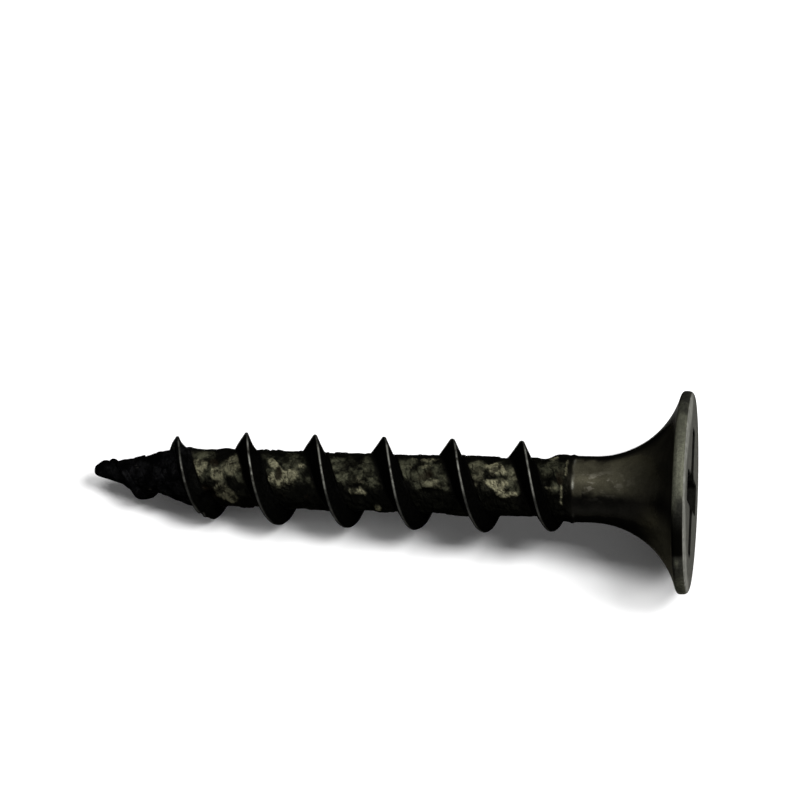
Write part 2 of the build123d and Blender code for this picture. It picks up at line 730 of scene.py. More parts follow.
        blank = self.blank_at(height)
        offset = self.crest_offset(height, azimuth)
        crest_height = height - offset
        crest_place = np.concatenate([ring * s.core_radius, crest_height[..., None]], axis=-1)
        wear_and_highlight = np.clip(lumps(crest_place, self.wear_size, Pattern.CREST_WEAR, 3), 0, 1)
        thread = np.clip(self.thread_at(crest_height) - self.crest_wear * wear_and_highlight, 0, None)
        spread = np.where(offset < 0, s.point_flank, s.head_flank)
        off_land = np.clip(np.abs(offset) - s.crest_width / 2, 0, None)
        sunk = self.foot_depth * (1 - np.clip(thread / self.foot_height, 0, 1))
        flank = self.core_at(crest_height) + thread - sunk - off_land * s.thread_height / spread
        place = np.concatenate([ring * blank[..., None], height[..., None]], axis=-1)
        ragged = lumps(place, self.ragged_size, Pattern.RAGGED, 3)
        return RolledForm(
            height, azimuth, ring, blank, thread, flank, offset, place, crest_place, ragged
        )

    def rolled_at(self, height: np.ndarray) -> np.ndarray:
        """Where the dies have rolled the wire and left their scale.

        Args:
            height: heights above the point of the screw.

        Returns:
            1 there, falling to 0 at the very tip and on the neck.
        """
        end = self.sizes.thread_end
        span = Span(self.scale_start, self.scale_full, end - self.scale_fading, end)
        return span.share(height)

    def collar_at(self, form: RolledForm) -> np.ndarray:
        """The dark collar between the scale and the satin neck.

        Args:
            form: the shank's clean form.

        Returns:
            1 on the collar, falling to 0 off it.
        """
        end = self.sizes.thread_end
        frayed = form.height + self.collar_fray * form.ragged
        rising = ease(form.height, end - self.collar_start, end - self.collar_full)
        return rising * ease(frayed, self.neck_edge, self.neck_edge - self.collar_fading)

    def scale(self, form: RolledForm) -> tuple[np.ndarray, np.ndarray, dict[Zone, np.ndarray]]:
        """The rough scale on the core.

        Args:
            form: the shank's clean form.

        Returns:
            How far the scale lifts the core, how raised it is from 0 to 1, and its tones' weights.
        """
        gap, level = plates(form.place, self.plate_size, Pattern.PLATES)
        crack = 1 - ease(gap, 0, self.crack_width)
        torn = ease(lumps(form.place, self.torn_size, Pattern.TORN, 2), *self.torn_border)
        flakes = torn * (self.plate_lift * (level - self.plate_level) - self.crack_depth * crack)
        swell = self.lump_height * lumps(form.place, self.lump_size, Pattern.SCALE_LUMPS, 3)
        raised = np.clip(0.5 + (swell + flakes) / self.raised_height, 0, 1)
        relief = self.rolled_at(form.height) * (swell + flakes)

        tones = {zone: 0.0 * form.height for zone in (Zone.CREAM, Zone.BROWN, Zone.PIT_AND_SHADE, Zone.SCUFF)}
        for patch in self.patches():
            cover = patch.cover(form.height, form.azimuth, form.ragged)
            bumpy = self.patch_body + self.patch_lumps * form.ragged
            relief = relief + patch.rise * cover * bumpy
            tones = {zone: share * (1 - cover) for zone, share in tones.items()}
            tones[patch.tone] = tones[patch.tone] + patch.strength * cover
            # Painted shade: a dark ring round each flake, frayed.
            shade_ring = self.shade_ring * patch.strength * cover * (1 - cover)
            shade_ring = shade_ring * ease(form.ragged, *self.shade_ring_border)
            tones[Zone.PIT_AND_SHADE] = np.maximum(tones[Zone.PIT_AND_SHADE], shade_ring)
        # The collar is darker, except under cream flakes.
        darker_collar = self.collar_darkening * self.collar_at(form) * (1 - tones[Zone.CREAM])
        tones[Zone.PIT_AND_SHADE] = np.maximum(tones[Zone.PIT_AND_SHADE], darker_collar)
        return relief, raised, tones

    def shape(self, form: RolledForm, relief: np.ndarray) -> np.ndarray:
        """The skin's points, with the scale, the marks, the wavy crests and the bent tip.

        Args:
            form: the shank's clean form.
            relief: how far the scale lifts the core.

        Returns:
            Upright places, shape (rows, columns, 3).
        """
        body = form.blank + relief * form.on_root
        flank, above_root = form.flank, form.above_root
        radius = 0.5 * (body + flank + np.sqrt((body - flank) ** 2 + self.root_fillet**2))
        no_thread = ease(above_root, *self.unfilleted) * (form.thread <= 0)
        radius -= 0.5 * self.root_fillet * no_thread
        for mark in self.marks():
            radius = radius + mark.at(form.height, form.azimuth, radius)
        radius = np.maximum(radius, self.thinnest)

        off_push = (form.height - form.offset - self.push_height) / self.push_reach
        sway = self.crest_sway * lumps(form.crest_place, self.sway_size, Pattern.CREST_SWAY, 2)
        sway = sway - self.crest_push * np.exp(-(off_push**2))
        sway = sway * ease(above_root, *self.sway_rise)
        lean = self.tip_shift * (1 - np.clip(form.height / self.tip_reach, 0, 1)) ** 2
        out_x, out_y = form.ring[..., 0], form.ring[..., 1]
        return np.stack([radius * out_x, radius * out_y + lean, form.height + sway], axis=-1)

    def weigh(
        self, form: RolledForm, raised: np.ndarray, tones: dict[Zone, np.ndarray]
    ) -> dict[Zone, np.ndarray]:
        """The finish of each point.

        Args:
            form: the shank's clean form.
            raised: how raised the scale is, from 0 to 1.
            tones: the weights of the scale's tones.

        Returns:
            The weights of the zones, each of shape (rows * columns,).
        """
        height, above_root, on_root = form.height, form.above_root, form.on_root
        standing = np.clip(form.thread / self.full_thread, 0, 1)
        on_crest = np.clip(self.crest_core - np.abs(form.offset) / self.crest_line, 0, 1)
        on_crest = on_crest * standing * ease(height, *self.first_crest)
        brighter = (1 - self.dull_crest) * ease(height, *self.bright_crest)
        on_crest = on_crest * (self.dull_crest + brighter)
        point = ease(height, *self.point_end)
        on_neck = height > self.sizes.thread_end
        clear = np.maximum(ease(above_root, *self.clear_of_thread), on_neck)
        # The lighter strip is taken off the collar.
        clear = clear * (1 - self.collar_dimming * self.collar_at(form))
        neck_line = np.exp(-(((height - self.neck_edge) / self.neck_line) ** 2))
        breaks = lumps(form.place, self.neck_line_size, Pattern.NECK_LINE, 2)
        neck_line = self.neck_line_wear * neck_line * ease(breaks, *self.neck_line_breaks)
        # Painted light: the upper side of the core, the crests and the neck is painted lighter.
        lighter = LIT_STRIP.share(form.azimuth, form.ragged)
        weights = {
            Zone.ROOT: self.rolled_at(height) * on_root * (1 - point),
            Zone.FLANK: np.maximum((1 - on_root) * standing, point) * (1 - on_crest),
            Zone.POINT: point * (1 - on_crest),
            Zone.CREST: np.maximum(on_crest, neck_line),
            Zone.RAISED: raised,
            Zone.LIGHTER: lighter * np.maximum(clear, on_crest),
            **{zone: share * on_root for zone, share in tones.items()},
        }
        return {zone: share.ravel() for zone, share in weights.items()}

    def build(self, skin: Skin) -> np.ndarray:
        """Adds the shank to the skin.

        Args:
            skin: where the points and faces go.

        Returns:
            The topmost ring of points, on the neck.
        """
        form = self.form()
        relief, raised, tones = self.scale(form)
        points = self.shape(form, relief)
        weights = self.weigh(form, raised, tones)
        numbers = skin.add_points(points.reshape(-1, 3), weights).reshape(form.height.shape)
        self.sew(skin, numbers)
        tip = skin.add_points(np.array([[0, self.tip_shift, -self.tip_bulge]]), {})
        skin.close_ring(numbers[0], int(tip[0]), outward=False)
        return numbers[-1]

    def sew(self, skin: Skin, numbers: np.ndarray) -> None:
        """Joins the rows with faces that climb as the thread does and so follow its crest.

        Args:
            skin: where the faces go.
            numbers: the points' numbers, shape (rows, columns).
        """
        after = np.roll(numbers, -1, axis=1)
        climbing = np.stack([numbers[:-2], after[1:-1], after[2:], numbers[1:-1]], axis=-1)
        skin.faces.extend(map(tuple, climbing.reshape(-1, 4).tolist()))
        first = np.stack([numbers[0], after[0], after[1]], axis=-1)
        last = np.stack([numbers[-2], after[-1], numbers[-1]], axis=-1)
        skin.faces.extend(map(tuple, np.concatenate([first, last]).tolist()))


@dataclass(frozen=True)
class Recess:
    """The cross recess: its outline at any depth, and its floor."""

    sizes: ScrewSizes
    end_columns: int = 5
    side_columns: int = 11
    heart_columns: int = 8
    edge_rounding: float = 0.06 * MM
    wall_rings: int = 14
    floor_rings: int = 6
    outermost_floor: float = 0.9
    innermost_floor: float = 0.15

    def outline(self, depth: float, spread: float = 0.0) -> np.ndarray:
        """The outline of the opening at a depth, with one wing on the starting azimuth.

        Args:
            depth: distance below the face.
            spread: how far the outline is let out, for the rounded edge.

        Returns:
            Points across the axis, shape (columns, 2), in order round it.
        """
        s = self.sizes
        draft = depth * np.tan(np.radians(s.wing_draft))
        wing = s.recess_wing / 2 - draft + spread
        heart = s.recess_heart / 2 - draft + spread
        end = s.recess_span / 2 - depth * np.tan(np.radians(s.wing_end_draft)) + spread
        inner = heart * np.sqrt(2) - wing
        corner = np.arcsin(wing / end)
        turn = corner * np.linspace(0, 1, self.end_columns, endpoint=False)
        side = np.linspace(0, 1, self.side_columns, endpoint=False)
        bevel = np.linspace(0, 1, self.heart_columns, endpoint=False)
        across = np.concatenate([
            end * np.cos(turn),
            end * np.cos(corner) + side * (inner - end * np.cos(corner)),
            inner + bevel * (heart / np.sqrt(2) - inner),
        ])
        up = np.concatenate([
            end * np.sin(turn),
            np.full(self.side_columns, wing),
            wing + bevel * (heart / np.sqrt(2) - wing),
        ])
        middle = np.full(1, heart / np.sqrt(2))
        quarter = np.stack([
            np.concatenate([across, middle, up[:0:-1]]),
            np.concatenate([up, middle, across[:0:-1]]),
        ], axis=-1)
        quarters = []
        for count in range(4):
            angle = np.radians(s.start_angle + 90 * count)
            turning = np.array([[np.cos(angle), np.sin(angle)], [-np.sin(angle), np.cos(angle)]])
            quarters.append(quarter @ turning)
        return np.concatenate(quarters)

    def rings(self) -> list[tuple[np.ndarray, np.ndarray | float]]:
        """The rings of the recess from the face down to near the middle of its floor.

        Returns:
            Pairs of an outline and its depth, which on the floor is another at each point.
        """
        s = self.sizes
        rings = []
        for share in (0.5, 1.0):
            turn = np.radians(90 * share)
            spread = self.edge_rounding * (1 - np.sin(turn))
            rings.append((self.outline(0, spread), self.edge_rounding * (1 - np.cos(turn))))
        for depth in np.linspace(self.edge_rounding, s.recess_depth, self.wall_rings + 1)[1:]:
            rings.append((self.outline(depth), depth))
        bottom = rings[-1][0]
        reach = np.linalg.norm(bottom, axis=1).max()
        slope = np.tan(np.radians(s.recess_floor_draft))
        for share in np.linspace(self.outermost_floor, self.innermost_floor, self.floor_rings):
            ring = bottom * share
            drop = (reach - np.linalg.norm(ring, axis=1)) / slope
            rings.append((ring, s.recess_depth + drop * (1 - share**4)))
        return rings


@dataclass(frozen=True)
class Head:
    """The neck's upper end, the bugle, the rim, the face and the recess in it.

    A pair of numbers says where something starts to show and where it shows in full.
    """

    sizes: ScrewSizes
    recess: Recess
    columns: int = 192
    neck_bottom: float = 20.34 * MM
    neck_rings: int = 6
    bugle_rings: int = 76
    corner_cut: int = 4
    corner_rings: int = 7
    corner: float = 0.13 * MM
    rim_rings: int = 6
    rounding_rings: int = 8
    face_edge: float = 0.75
    face_rings: int = 20
    skin_lumps: float = 0.006 * MM
    skin_lump_size: float = 0.8 * MM

    # The painted light along the upper side: its frayed borders, and how it fades up the bugle.
    frayed_size: float = 0.5 * MM
    soft_size: float = 2.5 * MM
    soft_fray: float = 0.4
    neck_frays: Pair = (21.6 * MM, 20.8 * MM)
    strip_fades: Pair = (21.5 * MM, 23.4 * MM)
    strip_loss: float = 0.8
    # Painted reflection: the bugle's underside near the rim is painted lighter.
    underside: Span = Span(215, 245, 320, 350)
    underside_grows: Pair = (22.4 * MM, 23.8 * MM)
    underside_reflection: float = 0.75
    scuffed: Mark = Mark(21.0 * MM, 196, 0.9 * MM, 0.4 * MM, 1.0)

    # A darker band on the rim, at azimuths 208 to 247.
    rim_dark_band: Span = Span(208, 232, 244, 247)
    rim_curl: Mark = Mark(24.3 * MM, 250, 0.08 * MM, 0.2 * MM, 0.9)
    # Painted glint: the rim's bottom is painted lighter.
    rim_lowest: Span = Span(256, 274, 300, 330)
    rim_lowest_glint: float = 0.75

    # Painted highlight: the face's edge is painted bright on one side, where its rounding catches
    # the light.
    lit_face_edge: Span = Span(110, 135, 285, 310)
    face_highlight: float = 0.8
    highlight_band: Pair = (0.4, 0.15)
    recess_mouth: Pair = (0.9, 1.0)

    def profile(self) -> list[tuple[float, float, Zone | None]]:
        """The outline from the neck to the face.

        Returns:
            Radius, height and zone of each ring, outwards over the bugle and up over the rim. The
            zone is None on the satin neck and bugle.
        """
        s = self.sizes
        path: list[tuple[float, float, Zone | None]] = []
        neck = np.linspace(self.neck_bottom, s.bugle_bottom, self.neck_rings, endpoint=False)
        for height in neck:
            path.append((s.shank_radius, height, None))
        whole = np.arccos(s.bugle_hollow / s.bugle_radius)
        for turn in np.linspace(0, whole, self.bugle_rings):
            radius = s.shank_radius + s.bugle_radius * (1 - np.cos(turn))
            path.append((radius, s.bugle_bottom + s.bugle_radius * np.sin(turn), None))
        radius, height, _ = path[-self.corner_cut]
        del path[1 - self.corner_cut:]
        for share in np.linspace(0, 1, self.corner_rings + 1)[1:]:
            away, near = (1 - share) ** 2, share**2
            bent = radius * away + s.head_radius * (1 - away)
            climbed = height * away + s.rim_bottom * (1 - away) + near * self.corner
            path.append((bent, climbed, Zone.RIM))
        top = s.length - s.rim_rounding
        for height in np.linspace(s.rim_bottom + self.corner, top, self.rim_rings)[1:]:
            path.append((s.head_radius, height, Zone.RIM))
        for turn in np.radians(np.linspace(0, 90, self.rounding_rings)[1:]):
            radius = s.head_radius - s.rim_rounding * (1 - np.cos(turn))
            zone = Zone.RIM if turn < self.face_edge else Zone.FACE
            path.append((radius, top + s.rim_rounding * np.sin(turn), zone))
        return path

    def weights(
        self, zone: Zone | None, radius: float, height: float, azimuth: np.ndarray
    ) -> dict[Zone, np.ndarray]:
        """The finish of one ring: its zone, where it is painted lighter as lit, its darker rim
        band, its scuffs, and the painted highlight on the face's edge.

        Args:
            zone: the ring's zone, None on the satin neck and bugle.
            radius: its radius.
            height: its height above the point of the screw.
            azimuth: directions round the axis of its points, in degrees.

        Returns:
            The weights of its points.
        """
        azimuth = azimuth % 360
        place = np.stack([np.radians(azimuth) * radius, 0 * azimuth + height, 0 * azimuth], axis=-1)
        frayed = LIT_STRIP.share(azimuth, lumps(place, self.frayed_size, Pattern.STRIP, 3))
        if zone is Zone.RIM:
            curl = self.rim_curl.at(height, azimuth, radius)
            # Painted glint on the rim's bottom.
            lowest = self.rim_lowest_glint * self.rim_lowest.share(azimuth)
            return {
                zone: np.ones(self.columns),
                Zone.PIT_AND_SHADE: self.rim_dark_band.share(azimuth),
                Zone.LIGHTER: np.maximum(frayed, np.maximum(curl, lowest)),
            }
        if zone is Zone.FACE:
            # Painted highlight on the face's edge.
            wear_and_highlight = self.face_highlight * self.lit_face_edge.share(azimuth)
            return {zone: np.ones(self.columns), Zone.CREST: wear_and_highlight, Zone.LIGHTER: wear_and_highlight}
        # Painted light: the neck and the bugle are painted lighter along their upper side, less so
        # up the bugle.
        swells = lumps(place, self.soft_size, Pattern.SOFT_STRIP)
        soft = LIT_STRIP.share(azimuth, self.soft_fray * swells)
        strip = soft + (frayed - soft) * float(ease(height, *self.neck_frays))
        strip = strip * (1 - self.strip_loss * float(ease(height, *self.strip_fades)))
        # Painted reflection under the bugle near the rim.
        under = self.underside_reflection * self.underside.share(azimuth)
        return {
            Zone.LIGHTER: np.maximum(strip, under * float(ease(height, *self.underside_grows))),
            Zone.SCUFF: self.scuffed.at(height, azimuth, radius),
        }

    def build(self, skin: Skin, neck: np.ndarray) -> None:
        """Adds the head to the skin.

        Args:
            skin: where the points and faces go.
            neck: the topmost ring of the shank.
        """
        turn = np.radians(self.sizes.start_angle + 360 / self.columns * np.arange(self.columns))
        edge = self.build_side(skin, neck, turn)
        mouth = self.build_face(skin, edge, turn)
        self.build_recess(skin, mouth)

    def build_side(self, skin: Skin, neck: np.ndarray, turn: np.ndarray) -> np.ndarray:
        """Adds the neck, the bugle and the rim.

        Args:
            skin: where the points and faces go.
            neck: the topmost ring of the shank.
            turn: directions round the axis of the columns, in radians.

        Returns:
            The ring at the edge of the face.
        """
        ring = np.stack([np.cos(turn), np.sin(turn)], axis=-1)
        last = None
        for radius, height, zone in self.profile():
            across = ring * radius
            place = np.column_stack([across, np.full(self.columns, height)])
            swell = self.skin_lumps * lumps(place, self.skin_lump_size, Pattern.HEAD_LUMPS, 3)
            across = across + ring * swell[:, None]
            points = np.column_stack([across, np.full(self.columns, height)])
            numbers = skin.add_points(points, self.weights(zone, radius, height, np.degrees(turn)))
            if last is None:
                skin.join_to_finer(neck, numbers)
            else:
                skin.join_rings(last, numbers)
            last = numbers
        return last

    def build_face(self, skin: Skin, edge: np.ndarray, turn: np.ndarray) -> np.ndarray:
        """Adds the face, from its round edge in to the outline of the recess.

        Args:
            skin: where the points and faces go.
            edge: the ring at the edge of the face.
            turn: directions round the axis of the columns, in radians.

        Returns:
            The ring at the mouth of the recess.
        """
        s = self.sizes
        outer = np.stack([np.cos(turn), np.sin(turn)], axis=-1) * (s.head_radius - s.rim_rounding)
        inner = self.recess.outline(0, self.recess.edge_rounding)
        last = edge
        for share in np.linspace(0, 1, self.face_rings + 1)[1:]:
            across = outer + (inner - outer) * share
            points = np.column_stack([across, np.full(self.columns, s.length)])
            weights = self.weights(Zone.FACE, s.head_radius, s.length, np.degrees(turn))
            # The painted highlight keeps to the outer part of the face.
            weights[Zone.CREST] = weights[Zone.CREST] * float(ease(share, *self.highlight_band))
            mouth = float(ease(share, *self.recess_mouth))
            weights[Zone.RECESS] = np.full(self.columns, mouth)
            numbers = skin.add_points(points, weights)
            skin.join_rings(last, numbers)
            last = numbers
        return last

    def build_recess(self, skin: Skin, mouth: np.ndarray) -> None:
        """Adds the walls and the floor of the recess.

        Args:
            skin: where the points and faces go.
            mouth: the ring at the mouth of the recess.
        """
        s = self.sizes
        last = mouth
        for outline, depth in self.recess.rings():
            height = s.length - np.broadcast_to(depth, (self.columns,))
            weights = {Zone.RECESS: np.ones(self.columns)}
            numbers = skin.add_points(np.column_stack([outline, height]), weights)
            skin.join_rings(last, numbers)
            last = numbers
        reach = s.recess_span / 2 - s.recess_depth * np.tan(np.radians(s.wing_end_draft))
        lowest = s.length - s.recess_depth - reach / np.tan(np.radians(s.recess_floor_draft))
        middle = skin.add_points(np.array([[0, 0, lowest]]), {Zone.RECESS: np.ones(1)})
        skin.close_ring(last, int(middle[0]), outward=True)


class Shader:
    """Puts together the nodes of one material."""

    BEND: float = 0.45

    def __init__(self, name: str) -> None:
        """Makes an empty node material.

        Args:
            name: the material's name.
        """
        self.material = bpy.data.materials.new(name)
        self.material.use_nodes = True
        self.tree = self.material.node_tree
        self.tree.nodes.clear()

    def add(self, kind: str, inputs: dict | None = None, **settings: object) -> bpy.types.Node:
        """Adds a node.

        Args:
            kind: the node's type, without the words ShaderNode in front.
            inputs: values or sockets for its inputs, by name or number.
            **settings: the node's own properties.

        Returns:
            The new node.
        """
        node = self.tree.nodes.new("ShaderNode" + kind)
        for name, value in settings.items():
            setattr(node, name, value)
        for name, value in (inputs or {}).items():
            if isinstance(value, Socket):
                self.tree.links.new(value, node.inputs[name])
            else:
                node.inputs[name].default_value = value
        return node

    def weight(self, zone: Zone) -> Socket:
        """The weight of a zone."""
        return self.add("Attribute", attribute_name=zone.value).outputs["Fac"]

    def place(self, stretch: tuple[float, float, float] = (1, 1, 1)) -> Socket:
        """The place on the upright screw in millimetres, stretched for a grain."""
        upright = self.add("Attribute", attribute_name="upright").outputs["Vector"]
        return self.add("Mapping", {"Vector": upright, "Scale": stretch}).outputs["Vector"]

    def noise(self, where: Socket, scale: float, detail: float = 4) -> Socket:
        """Cloudy noise.

        Args:
            where: the place.
            scale: how many swells there are to the millimetre.
            detail: how many finer layers are added.

        Returns:
            Numbers from 0 to 1.
        """
        inputs = {"Vector": where, "Scale": scale, "Detail": detail, "Roughness": 0.6}
        return self.add("TexNoise", inputs).outputs["Fac"]

    def edges(self, where: Socket, scale: float) -> Socket:
        """Distance from the nearest border between cells that are bent by BEND millimetres.

        Args:
            where: the place.
            scale: how many cells there are to the millimetre.

        Returns:
            Numbers from 0 up to about 1.
        """
        swirl = self.add("TexNoise", {"Vector": where, "Scale": scale, "Detail": 2.0})
        bend = {0: swirl.outputs["Color"], 1: (self.BEND, self.BEND, self.BEND), 2: where}
        moved = self.add("VectorMath", bend, operation="MULTIPLY_ADD").outputs["Vector"]
        inputs = {"Vector": moved, "Scale": scale}
        return self.add("TexVoronoi", inputs, feature="DISTANCE_TO_EDGE").outputs["Distance"]

    def ramp(self, value: Socket, low: float, high: float) -> Socket:
        """Rises smoothly from 0 at low to 1 at high."""
        inputs = {"Value": value, "From Min": low, "From Max": high}
        return self.add("MapRange", inputs, interpolation_type="SMOOTHSTEP").outputs["Result"]

    def math(self, operation: str, first: object, second: object = 0.0) -> Socket:
        """One sum of two numbers or sockets."""
        return self.add("Math", {0: first, 1: second}, operation=operation).outputs[0]

    def times(self, first: object, second: object) -> Socket:
        """The product of two numbers or sockets."""
        return self.math("MULTIPLY", first, second)

    def plus(self, first: object, second: object) -> Socket:
        """The sum of two numbers or sockets."""
        return self.math("ADD", first, second)

    def mix(self, share: object, first: object, second: object) -> Socket:
        """A mix of two colours.

        Args:
            share: how much of the second there is, a number or a socket.
            first: a colour or a socket.
            second: a colour or a socket.

        Returns:
            The mixed colour.
        """
        def whole(colour: object) -> object:
            """A colour with its fourth number, or a socket as it is."""
            return (*colour, 1.0) if isinstance(colour, tuple) else colour

        inputs = {0: share, 6: whole(first), 7: whole(second)}
        return self.add("Mix", inputs, data_type="RGBA").outputs[2]

    def blend(self, share: object, first: object, second: object) -> Socket:
        """A mix of two numbers, each a number or a socket."""
        return self.add("Mix", {0: share, 2: first, 3: second}, data_type="FLOAT").outputs[0]

    def finish(self, surface: Socket) -> bpy.types.Material:
        """Ends the material in a surface.

        Args:
            surface: the shader's output.

        Returns:
            The material.
        """
        self.add("OutputMaterial", {"Surface": surface})
        return self.material


@dataclass(frozen=True)
class Tones:
    """The darkest and the lightest colour of the phosphate in one zone."""

    dark: Colour
    light: Colour

    def mixed(self, s: Shader, share: object) -> Socket:
        """The colour that is so far on the way from the dark one to the light one."""
        return s.mix(share, self.dark, self.light)


@dataclass(frozen=True)
class Coat(Tones):
    """The phosphate's colours in one zone, its roughness, and how much it shines as metal."""

    roughness: float
    metal: float


@dataclass(frozen=True)
class Grain:
    """The textures that several parts of the phosphate share, with numbers from 0 to 1.

    Where is not a texture but the place that all of them are drawn on.
    """

    where: Socket
    fine: Socket
    speck: Socket
    mottle: Socket
    lump: Socket
    crack: Socket
    lighter: Socket


@dataclass(frozen=True)
class Phosphate:
    """Black phosphate: satin on the neck and head, scaly where the wire was rolled.

    Each texture's size is given as the number of its swells, specks or cells to the millimetre.
    """

    smooth: Coat = Coat((0.004, 0.0038, 0.0033), (0.008, 0.0076, 0.0064), 0.36, 0.6)
    # The lighter coat, for the painted light along the upper side.
    lighter: Coat = Coat((0.033, 0.0305, 0.0205), (0.064, 0.060, 0.041), 0.42, 0.35)
    root: Coat = Coat((0.003, 0.003, 0.0024), (0.044, 0.0445, 0.029), 0.45, 0.4)
    flank: Coat = Coat((0.0006, 0.0006, 0.0005), (0.0025, 0.0025, 0.0022), 0.42, 0.4)
    point: Tones = Tones((0.001, 0.001, 0.0011), (0.0062, 0.0062, 0.0065))
    crest: Coat = Coat((0.02, 0.02, 0.018), (0.24, 0.24, 0.215), 0.42, 0.4)
    rim: Coat = Coat((0.014, 0.014, 0.012), (0.03, 0.03, 0.025), 0.5, 0.4)
    # The rim's lighter tones, for its painted light.
    lighter_rim: Tones = Tones((0.055, 0.056, 0.042), (0.105, 0.107, 0.08))
    face: Coat = Coat((0.04, 0.04, 0.035), (0.085, 0.084, 0.073), 0.5, 0.3)
    # Painted shade: the recess is coloured darker than the face.
    recess: Coat = Coat((0.002, 0.002, 0.0018), (0.006, 0.006, 0.005), 0.5, 0.4)
    cream: Colour = (0.2, 0.19, 0.122)
    brown: Colour = (0.009, 0.0064, 0.004)
    scuff: Colour = (0.12, 0.112, 0.09)
    # Dark of the pits, also used for painted shade in hollows and round flakes.
    pit_and_shade: Colour = (0.002, 0.002, 0.0015)
    edge: Colour = (0.15, 0.145, 0.12)

    clouds: float = 1.1
    grains: float = 9.0
    specks: float = 26.0
    scale_patches: float = 1.4
    scale_lumps: float = 2.5
    rust_spots: float = 2.3
    cracks: float = 1.7
    point_flecks: float = 1.9
    worn_spots: float = 2.6
    scratches: float = 5.0
    scratch_stretch: tuple[float, float, float] = (1.0, 1.0, 0.5)

    # Painted shade: off the upper strip the scale and the crest lines are painted darker.
    shaded_scale: float = 0.12
    shaded_crest: float = 0.12
    rust_strength: float = 0.6
    # Painted shade in the hollows of the scale.
    hollow_shade: float = 0.8
    crack_strength: float = 0.6
    # Painted highlight on the face.
    face_highlight: float = 0.6
    grain_roughness: float = 0.25
    root_lumps: float = 16.0
    point_lumps: float = 5.0
    crack_relief: float = -2.0
    smooth_relief: float = 0.15
    bump_strength: float = 0.6
    bump_height: float = 0.02 * MM

    def grain(self, s: Shader) -> Grain:
        """Makes the shared textures.

        Args:
            s: the material in the making.

        Returns:
            The textures' sockets.
        """
        where = s.place()
        fine = s.noise(where, self.grains, 5)
        speck = s.ramp(s.noise(where, self.specks, 2), 0.3, 0.7)
        mottle = s.ramp(s.plus(s.times(fine, 0.6), s.times(speck, 0.25)), 0.3, 0.6)
        crack = s.ramp(s.edges(where, self.cracks), 0.05, 0.012)
        crack = s.times(crack, s.ramp(s.noise(where, self.cracks, 2), 0.48, 0.58))
        lump = s.noise(where, self.scale_lumps, 3)
        return Grain(where, fine, speck, mottle, lump, crack, s.weight(Zone.LIGHTER))

    def satin(self, s: Shader, g: Grain) -> Socket:
        """The colour of the neck and the bugle.

        Args:
            s: the material in the making.
            g: its shared textures.

        Returns:
            The colour.
        """
        cloud = s.ramp(s.noise(g.where, self.clouds), 0.35, 0.65)
        mixed = s.blend(0.45, cloud, g.mottle)
        dark = self.smooth.mixed(s, mixed)
        # Painted light: lighter along the upper side.
        return s.mix(g.lighter, dark, self.lighter.mixed(s, mixed))

    def scale(self, s: Shader, g: Grain) -> Socket:
        """The colour of the scale on the core: lumps, rust, cream flakes, painted shade in its
        hollows and off the upper strip, and cracks.

        Args:
            s: the material in the making.
            g: its shared textures.

        Returns:
            The colour.
        """
        raised = s.ramp(s.weight(Zone.RAISED), 0.35, 0.8)
        patch = s.ramp(s.noise(g.where, self.scale_patches, 3), 0.38, 0.62)
        scaly = s.plus(s.times(patch, 0.6), s.times(raised, 0.4))
        scaly = s.times(scaly, s.blend(s.ramp(g.fine, 0.3, 0.6), 0.6, 1.0))
        # Painted shade: off the upper strip the scale is painted darker.
        scaly = s.times(scaly, s.blend(g.lighter, self.shaded_scale, 1.0))
        colour = self.root.mixed(s, s.ramp(scaly, 0.0, 0.7))
        rust = s.ramp(s.noise(g.where, self.rust_spots, 3), 0.64, 0.76)
        colour = s.mix(s.times(rust, self.rust_strength), colour, self.brown)
        chalk = s.times(s.weight(Zone.CREAM), s.blend(0.6, 1.0, s.ramp(g.fine, 0.3, 0.55)))
        colour = s.mix(chalk, colour, self.cream)
        # Painted shade: the scale is darkened where its lumps are low, with the same noise as the
        # bumps.
        shaded_hollow = s.times(s.ramp(g.lump, 0.52, 0.36), self.hollow_shade)
        colour = s.mix(shaded_hollow, colour, self.pit_and_shade)
        colour = s.mix(s.weight(Zone.BROWN), colour, self.brown)
        return s.mix(s.times(g.crack, self.crack_strength), colour, self.pit_and_shade)

    def wear_and_highlight(self, s: Shader, g: Grain, colour: Socket) -> Socket:
        """The face's colour, the rubbed crests, and the painted highlight on the face's edge, over
        the rest.

        Args:
            s: the material in the making.
            g: its shared textures.
            colour: the colour of the rest.

        Returns:
            The colour.
        """
        face = s.weight(Zone.FACE)
        wear_and_highlight = s.ramp(s.noise(g.where, self.worn_spots, 3), 0.3, 0.62)
        # Painted highlight: the face stays bright.
        wear_and_highlight = s.math("MAXIMUM", wear_and_highlight, s.times(face, self.face_highlight))
        # Painted shade: off the upper strip the crest lines are painted darker.
        bright = s.blend(g.lighter, self.shaded_crest, 1.0)
        bright = self.crest.mixed(s, bright)
        colour = s.mix(face, colour, self.face.mixed(s, g.mottle))
        dull = s.mix(face, self.crest.dark, colour)
        return s.mix(s.weight(Zone.CREST), colour, s.mix(wear_and_highlight, dull, bright))

    def colour(self, s: Shader, g: Grain) -> Socket:
        """The colour of the whole screw, one zone over another.

        Args:
            s: the material in the making.
            g: its shared textures.

        Returns:
            The colour.
        """
        flecks = s.times(s.noise(g.where, self.point_flecks, 4), s.blend(g.mottle, 0.8, 1.1))
        flecks = s.ramp(flecks, 0.4, 0.62)
        # Painted light: the rim is painted lighter where it is lit.
        lighter_rim = self.lighter_rim.mixed(s, g.mottle)
        rim = s.mix(g.lighter, self.rim.mixed(s, g.mottle), lighter_rim)
        scratch = s.noise(s.place(self.scratch_stretch), self.scratches, 4)
        scuffed = s.times(s.weight(Zone.SCUFF), s.ramp(scratch, 0.5, 0.62))

